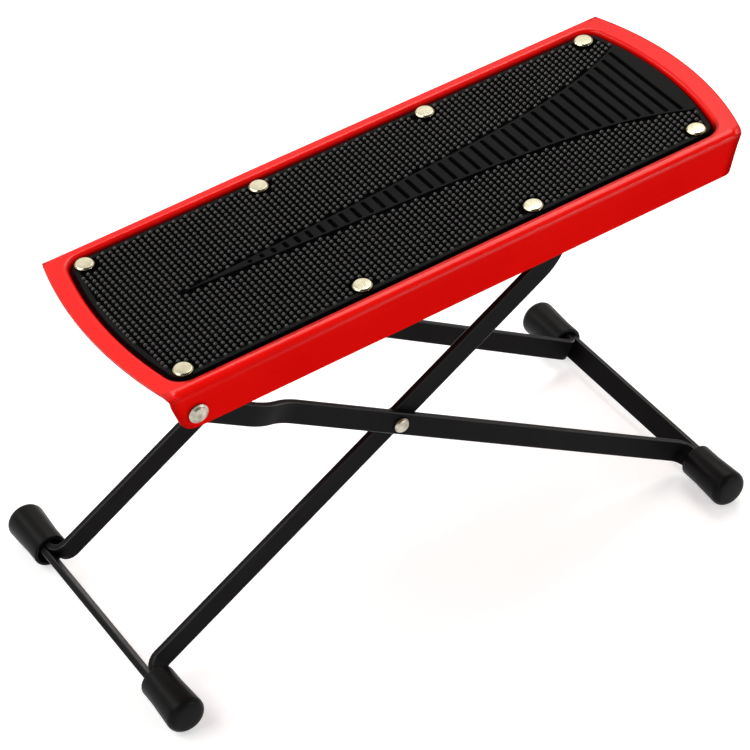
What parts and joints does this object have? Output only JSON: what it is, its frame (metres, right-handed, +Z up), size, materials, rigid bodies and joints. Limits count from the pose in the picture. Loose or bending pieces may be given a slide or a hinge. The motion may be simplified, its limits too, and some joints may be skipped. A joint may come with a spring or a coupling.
{
  "type": "guitar footrest",
  "caption": "Folding guitar footrest with a red pressed-steel platform, a ribbed black rubber mat and two black scissor leg frames on rubber feet",
  "frame": {"origin": "on the floor, under the middle of the whole footrest as it stands", "axes": "+X points to the raised rear end of the platform, +Y to the far side, +Z up; the near side is -Y"},
  "size_m": [0.314, 0.1616, 0.196],
  "materials": {
    "red_paint": "semi-gloss red enamel on pressed sheet",
    "black_paint": "satin black powder coat on flat bar",
    "rivet_steel": "satin plated steel",
    "mat_rubber": "matt black rubber with a fine pebble grain",
    "foot_rubber": "satin black rubber"
  },
  "bodies": {
    "outer_frame": {"front_pivot_rivet_near": "rivet_steel", "front_pivot_washer_near": "rivet_steel", "front_pivot_rivet_far": "rivet_steel", "front_pivot_washer_far": "rivet_steel", "outer_leg_near": "black_paint", "rear_foot_near": "foot_rubber", "outer_leg_far": "black_paint", "rear_foot_far": "foot_rubber", "rear_crossbar": "black_paint", "scissor_rivet_near": "rivet_steel", "scissor_washer_near": "rivet_steel", "scissor_rivet_far": "rivet_steel", "scissor_washer_far": "rivet_steel"},
    "inner_frame": {"inner_leg_near": "black_paint", "front_foot_near": "foot_rubber", "inner_leg_far": "black_paint", "front_foot_far": "foot_rubber", "front_crossbar": "black_paint", "height_rod": "rivet_steel"},
    "platform": {"platform_tray": "red_paint", "rubber_mat": "mat_rubber", "mat_rivet_1": "rivet_steel", "mat_rivet_2": "rivet_steel", "mat_rivet_3": "rivet_steel", "mat_rivet_4": "rivet_steel", "mat_rivet_5": "rivet_steel", "mat_rivet_6": "rivet_steel", "mat_rivet_7": "rivet_steel", "mat_rivet_8": "rivet_steel", "height_rack_near": "black_paint", "height_rack_far": "black_paint"}
  },
  "joints": [
    {"name": "scissor", "type": "hinge", "parent": "outer_frame", "child": "inner_frame", "pos_m": [-0.02271, 0, 0.09703], "axis": [0, -1, 0], "range_deg": [-63.3, 10.1]},
    {"name": "platform_fold", "type": "hinge", "parent": "outer_frame", "child": "platform", "pos_m": [-0.12631, 0, 0.15269], "axis": [0, -1, 0], "range_deg": [-34.4, 5.6]}
  ],
  "couplings": [
    {"joint": "platform_fold", "follows": "scissor", "ratio": 0.541}
  ]
}
